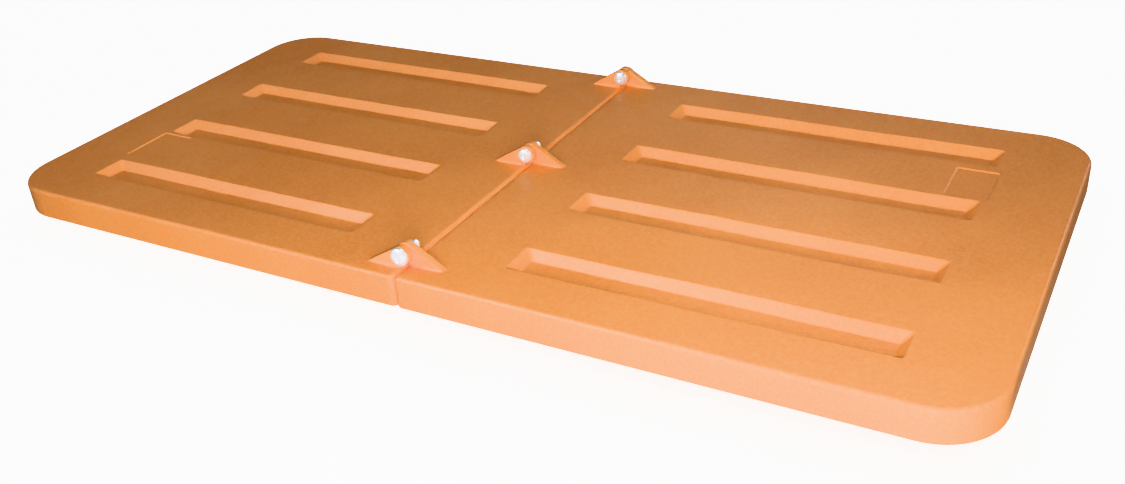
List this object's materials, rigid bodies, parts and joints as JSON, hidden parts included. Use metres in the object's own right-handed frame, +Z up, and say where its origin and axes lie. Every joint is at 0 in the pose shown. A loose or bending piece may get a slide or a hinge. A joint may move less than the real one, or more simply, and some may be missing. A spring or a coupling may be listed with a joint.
{
  "type": "folding container cover",
  "caption": "Flat rectangular moulded polyethylene cover in two equal panels that fold over each other on bolted lug hinges, with a skirt all round and long recessed stiffening channels.",
  "frame": {"origin": "on the seam line, at the middle of the underside, in the plane of the skirts' rims", "axes": "+X along the cover from the seam towards the right panel, +Y across the cover away from the screw heads, +Z up out of the top face"},
  "size_m": [1.12, 0.536, 0.0575],
  "materials": {
    "orange_polyethylene": "satin with a fine orange-peel texture from rotational moulding",
    "screw_steel": "bright zinc plate",
    "plain_steel": "zinc plate, duller than the screw heads",
    "natural_nylon": "natural nylon, slightly translucent white"
  },
  "bodies": {
    "left_half": {"left_panel": "orange_polyethylene", "near_hinge_screw": "screw_steel", "near_pivot_sleeve": "plain_steel", "near_spacer_washer": "natural_nylon", "near_nut_washer": "plain_steel", "near_lock_nut": "plain_steel", "near_nut_insert": "natural_nylon", "middle_hinge_screw": "screw_steel", "middle_pivot_sleeve": "plain_steel", "middle_spacer_washer": "natural_nylon", "middle_nut_washer": "plain_steel", "middle_lock_nut": "plain_steel", "middle_nut_insert": "natural_nylon", "far_hinge_screw": "screw_steel", "far_pivot_sleeve": "plain_steel", "far_spacer_washer": "natural_nylon", "far_nut_washer": "plain_steel", "far_lock_nut": "plain_steel", "far_nut_insert": "natural_nylon"},
    "right_half": {"right_panel": "orange_polyethylene"}
  },
  "joints": [
    {"name": "fold_hinge", "type": "hinge", "parent": "left_half", "child": "right_half", "pos_m": [0, 0, 0.0475], "axis": [0, -1, 0], "range_deg": [0, 180]}
  ]
}
